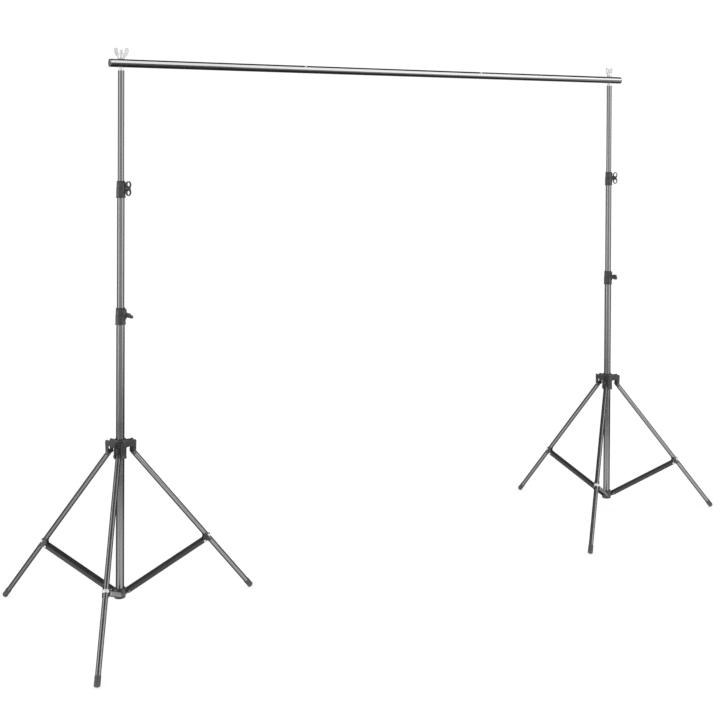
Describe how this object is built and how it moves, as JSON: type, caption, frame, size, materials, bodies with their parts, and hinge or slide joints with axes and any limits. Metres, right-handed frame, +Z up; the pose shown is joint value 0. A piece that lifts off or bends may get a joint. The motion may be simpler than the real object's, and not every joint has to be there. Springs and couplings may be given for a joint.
{
  "type": "background support",
  "caption": "Portable background support: telescopic tripod stands joined by a sectional crossbar held with wing nuts.",
  "frame": {"origin": "on the floor, at the centre of the footprint box; the midpoint of the two studs is at x -0.0832, y -0.0149", "axes": "+Z up, +X along the crossbar from the left stand to the right stand, -Y the front, where the snap buttons show"},
  "size_m": [2.6067, 0.8526, 1.7323],
  "materials": {
    "black_tube": "semi-gloss black paint on thin-wall tube",
    "crossbar_gloss": "gloss black paint on thin-wall tube",
    "black_stamping": "satin black paint on pressed sheet steel",
    "steel_pins": "dark zinc-plated steel rivets",
    "bright_zinc": "bright zinc-plated steel",
    "black_plastic": "fine-textured black moulding",
    "knob_plastic": "satin black moulding",
    "foot_rubber": "matt black rubber"
  },
  "bodies": {
    "left_lower_column": {"left_lower_tube": "black_tube", "left_hub": "black_plastic", "left_hub_pins": "steel_pins", "left_lower_lock": "black_plastic"},
    "left_middle_column": {"left_middle_tube": "black_tube", "left_upper_lock": "black_plastic"},
    "left_top_column": {"left_top_tube": "black_tube", "left_spigot": "bright_zinc"},
    "left_collar": {"left_leg_collar": "black_plastic"},
    "left_lower_knob": {"left_lower_knob": "knob_plastic"},
    "left_upper_knob": {"left_upper_knob": "knob_plastic"},
    "left_wing_nut": {"left_wing_nut": "bright_zinc"},
    "left_snap_button": {"left_snap_button": "bright_zinc"},
    "left_brace_a": {"left_brace_a": "black_stamping"},
    "left_leg_a": {"left_leg_a_tube": "black_tube", "left_leg_a_plug": "black_plastic", "left_leg_a_foot": "foot_rubber", "left_leg_a_bracket": "black_stamping"},
    "left_brace_b": {"left_brace_b": "black_stamping"},
    "left_leg_b": {"left_leg_b_tube": "black_tube", "left_leg_b_plug": "black_plastic", "left_leg_b_foot": "foot_rubber", "left_leg_b_bracket": "black_stamping"},
    "left_brace_c": {"left_brace_c": "black_stamping"},
    "left_leg_c": {"left_leg_c_tube": "black_tube", "left_leg_c_plug": "black_plastic", "left_leg_c_foot": "foot_rubber", "left_leg_c_bracket": "black_stamping"},
    "right_lower_column": {"right_lower_tube": "black_tube", "right_hub": "black_plastic", "right_hub_pins": "steel_pins", "right_lower_lock": "black_plastic"},
    "right_middle_column": {"right_middle_tube": "black_tube", "right_upper_lock": "black_plastic"},
    "right_top_column": {"right_top_tube": "black_tube", "right_spigot": "bright_zinc"},
    "right_collar": {"right_leg_collar": "black_plastic"},
    "right_lower_knob": {"right_lower_knob": "knob_plastic"},
    "right_upper_knob": {"right_upper_knob": "knob_plastic"},
    "right_wing_nut": {"right_wing_nut": "bright_zinc"},
    "right_snap_button": {"right_snap_button": "bright_zinc"},
    "right_brace_a": {"right_brace_a": "black_stamping"},
    "right_leg_a": {"right_leg_a_tube": "black_tube", "right_leg_a_plug": "black_plastic", "right_leg_a_foot": "foot_rubber", "right_leg_a_bracket": "black_stamping"},
    "right_brace_b": {"right_brace_b": "black_stamping"},
    "right_leg_b": {"right_leg_b_tube": "black_tube", "right_leg_b_plug": "black_plastic", "right_leg_b_foot": "foot_rubber", "right_leg_b_bracket": "black_stamping"},
    "right_brace_c": {"right_brace_c": "black_stamping"},
    "right_leg_c": {"right_leg_c_tube": "black_tube", "right_leg_c_plug": "black_plastic", "right_leg_c_foot": "foot_rubber", "right_leg_c_bracket": "black_stamping"},
    "crossbar": {"crossbar_left_section": "crossbar_gloss", "crossbar_centre_section": "crossbar_gloss", "crossbar_right_section": "crossbar_gloss", "crossbar_end_caps": "black_plastic"}
  },
  "joints": [
    {"name": "left_lower_slide", "type": "slide", "parent": "left_lower_column", "child": "left_middle_column", "axis": [0, 0, 1], "range_m": [-0.328, 0.16]},
    {"name": "left_upper_slide", "type": "slide", "parent": "left_middle_column", "child": "left_top_column", "axis": [0, 0, 1], "range_m": [-0.328, 0.16]},
    {"name": "left_stud_turn", "type": "hinge", "parent": "left_top_column", "child": "crossbar", "pos_m": [-1.0382, -0.0149, 1.686], "axis": [0, 0, 1], "range_deg": [-180, 180]},
    {"name": "right_stud_turn", "type": "hinge", "parent": "crossbar", "child": "right_top_column", "pos_m": [0.8718, -0.0149, 1.686], "axis": [0, 0, 1], "range_deg": [-180, 180]},
    {"name": "right_upper_slide", "type": "slide", "parent": "right_top_column", "child": "right_middle_column", "axis": [0, 0, -1], "range_m": [-0.328, 0.16]},
    {"name": "right_lower_slide", "type": "slide", "parent": "right_middle_column", "child": "right_lower_column", "axis": [0, 0, -1], "range_m": [-0.328, 0.16]},
    {"name": "left_collar_slide", "type": "slide", "parent": "left_lower_column", "child": "left_collar", "axis": [0, 0, 1], "range_m": [0, 0.24573]},
    {"name": "left_brace_a_turn", "type": "hinge", "parent": "left_lower_column", "child": "left_brace_a", "pos_m": [-1.05265, 0.0055, 0.085], "axis": [0.8161, 0.5779, 0], "range_deg": [-0.01, 68.54]},
    {"name": "left_leg_a_turn", "type": "hinge", "parent": "left_brace_a", "child": "left_leg_a", "pos_m": [-1.1976, 0.21023, 0.1869], "axis": [0.8161, 0.5779, 0], "range_deg": [-107.42, 0.01]},
    {"name": "left_brace_b_turn", "type": "hinge", "parent": "left_lower_column", "child": "left_brace_b", "pos_m": [-1.01331, -0.01259, 0.085], "axis": [0.0924, -0.9957, 0], "range_deg": [-0.01, 68.54]},
    {"name": "left_leg_b_turn", "type": "hinge", "parent": "left_brace_b", "child": "left_leg_b", "pos_m": [-0.76354, 0.01058, 0.1869], "axis": [0.0924, -0.9957, 0], "range_deg": [-107.42, 0.01]},
    {"name": "left_brace_c_turn", "type": "hinge", "parent": "left_lower_column", "child": "left_brace_c", "pos_m": [-1.04865, -0.03761, 0.085], "axis": [-0.9085, 0.4179, 0], "range_deg": [-0.01, 68.54]},
    {"name": "left_leg_c_turn", "type": "hinge", "parent": "left_brace_c", "child": "left_leg_c", "pos_m": [-1.15347, -0.26551, 0.1869], "axis": [-0.9085, 0.4179, 0], "range_deg": [-107.42, 0.01]},
    {"name": "left_lower_knob_turn", "type": "hinge", "parent": "left_lower_column", "child": "left_lower_knob", "pos_m": [-1.0382, -0.0149, 0.925], "axis": [0.7071, -0.7071, 0], "range_deg": [0, 540]},
    {"name": "left_upper_knob_turn", "type": "hinge", "parent": "left_middle_column", "child": "left_upper_knob", "pos_m": [-1.0382, -0.0149, 1.308], "axis": [0.7071, -0.7071, 0], "range_deg": [0, 540]},
    {"name": "left_wing_nut_turn", "type": "hinge", "parent": "left_top_column", "child": "left_wing_nut", "pos_m": [-1.0382, -0.0149, 1.706], "axis": [0, 0, 1], "range_deg": [-360, 360]},
    {"name": "left_snap_button_press", "type": "slide", "parent": "crossbar", "child": "left_snap_button", "axis": [0, 0.6428, -0.766], "range_m": [0, 0.0035], "stiffness_N_per_m": 900},
    {"name": "right_collar_slide", "type": "slide", "parent": "right_lower_column", "child": "right_collar", "axis": [0, 0, 1], "range_m": [0, 0.24573]},
    {"name": "right_brace_a_turn", "type": "hinge", "parent": "right_lower_column", "child": "right_brace_a", "pos_m": [0.86635, 0.0095, 0.085], "axis": [0.9759, 0.2181, 0], "range_deg": [-0.01, 68.54]},
    {"name": "right_leg_a_turn", "type": "hinge", "parent": "right_brace_a", "child": "right_leg_a", "pos_m": [0.81163, 0.2543, 0.1869], "axis": [0.9759, 0.2181, 0], "range_deg": [-107.42, 0.01]},
    {"name": "right_brace_b_turn", "type": "hinge", "parent": "right_lower_column", "child": "right_brace_b", "pos_m": [0.89566, -0.02238, 0.085], "axis": [-0.299, -0.9542, 0], "range_deg": [-0.01, 68.54]},
    {"name": "right_leg_b_turn", "type": "hinge", "parent": "right_brace_b", "child": "right_leg_b", "pos_m": [1.13502, -0.09739, 0.1869], "axis": [-0.299, -0.9542, 0], "range_deg": [-107.42, 0.01]},
    {"name": "right_brace_c_turn", "type": "hinge", "parent": "right_lower_column", "child": "right_brace_c", "pos_m": [0.8534, -0.03182, 0.085], "axis": [-0.6769, 0.7361, 0], "range_deg": [-0.01, 68.54]},
    {"name": "right_leg_c_turn", "type": "hinge", "parent": "right_brace_c", "child": "right_leg_c", "pos_m": [0.66875, -0.20161, 0.1869], "axis": [-0.6769, 0.7361, 0], "range_deg": [-107.42, 0.01]},
    {"name": "right_lower_knob_turn", "type": "hinge", "parent": "right_lower_column", "child": "right_lower_knob", "pos_m": [0.8718, -0.0149, 0.925], "axis": [0.7071, -0.7071, 0], "range_deg": [0, 540]},
    {"name": "right_upper_knob_turn", "type": "hinge", "parent": "right_middle_column", "child": "right_upper_knob", "pos_m": [0.8718, -0.0149, 1.308], "axis": [0.7071, -0.7071, 0], "range_deg": [0, 540]},
    {"name": "right_wing_nut_turn", "type": "hinge", "parent": "right_top_column", "child": "right_wing_nut", "pos_m": [0.8718, -0.0149, 1.706], "axis": [0, 0, 1], "range_deg": [-360, 360]},
    {"name": "right_snap_button_press", "type": "slide", "parent": "crossbar", "child": "right_snap_button", "axis": [0, 0.6428, -0.766], "range_m": [0, 0.0035], "stiffness_N_per_m": 900}
  ],
  "couplings": [
    {"joint": "right_upper_slide", "follows": "left_upper_slide", "ratio": 1},
    {"joint": "right_lower_slide", "follows": "left_lower_slide", "ratio": 1},
    {"joint": "left_brace_a_turn", "follows": "left_collar_slide", "rad_per_m": 4.8671},
    {"joint": "left_leg_a_turn", "follows": "left_collar_slide", "rad_per_m": -7.629},
    {"joint": "left_brace_b_turn", "follows": "left_collar_slide", "rad_per_m": 4.8671},
    {"joint": "left_leg_b_turn", "follows": "left_collar_slide", "rad_per_m": -7.629},
    {"joint": "left_brace_c_turn", "follows": "left_collar_slide", "rad_per_m": 4.8671},
    {"joint": "left_leg_c_turn", "follows": "left_collar_slide", "rad_per_m": -7.629},
    {"joint": "right_brace_a_turn", "follows": "right_collar_slide", "rad_per_m": 4.8671},
    {"joint": "right_leg_a_turn", "follows": "right_collar_slide", "rad_per_m": -7.629},
    {"joint": "right_brace_b_turn", "follows": "right_collar_slide", "rad_per_m": 4.8671},
    {"joint": "right_leg_b_turn", "follows": "right_collar_slide", "rad_per_m": -7.629},
    {"joint": "right_brace_c_turn", "follows": "right_collar_slide", "rad_per_m": 4.8671},
    {"joint": "right_leg_c_turn", "follows": "right_collar_slide", "rad_per_m": -7.629}
  ]
}
